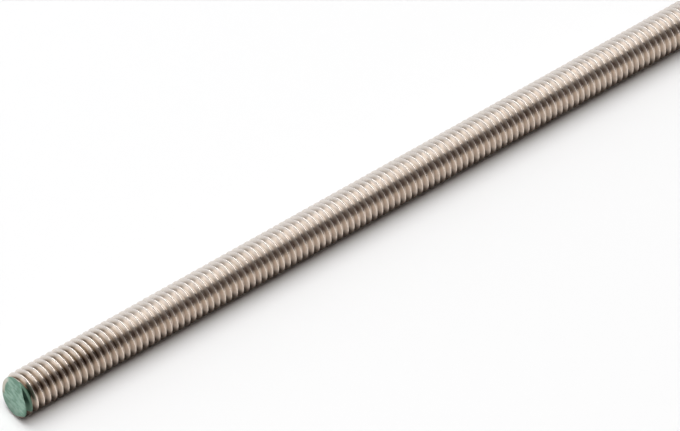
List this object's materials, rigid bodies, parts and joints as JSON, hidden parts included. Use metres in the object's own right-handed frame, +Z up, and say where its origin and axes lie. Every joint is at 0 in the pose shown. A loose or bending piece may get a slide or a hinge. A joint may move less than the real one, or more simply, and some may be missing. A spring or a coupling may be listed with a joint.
{
  "type": "threaded rod",
  "caption": "Slim round steel rod with a right-hand metric thread along its whole length, cut off plainly at both ends, one end a little out of square and painted green.",
  "frame": {"origin": "middle of the rod, on its axis", "axes": "+X along the rod, from the painted end to the plain end; +Z up as the rod lies"},
  "size_m": [0.12, 0.0058, 0.0058],
  "materials": {
    "bare_steel": "bright rolled stainless steel, bare, with green marking paint on one end face"
  },
  "bodies": {
    "root": {"threaded_rod": "bare_steel"}
  },
  "joints": []
}
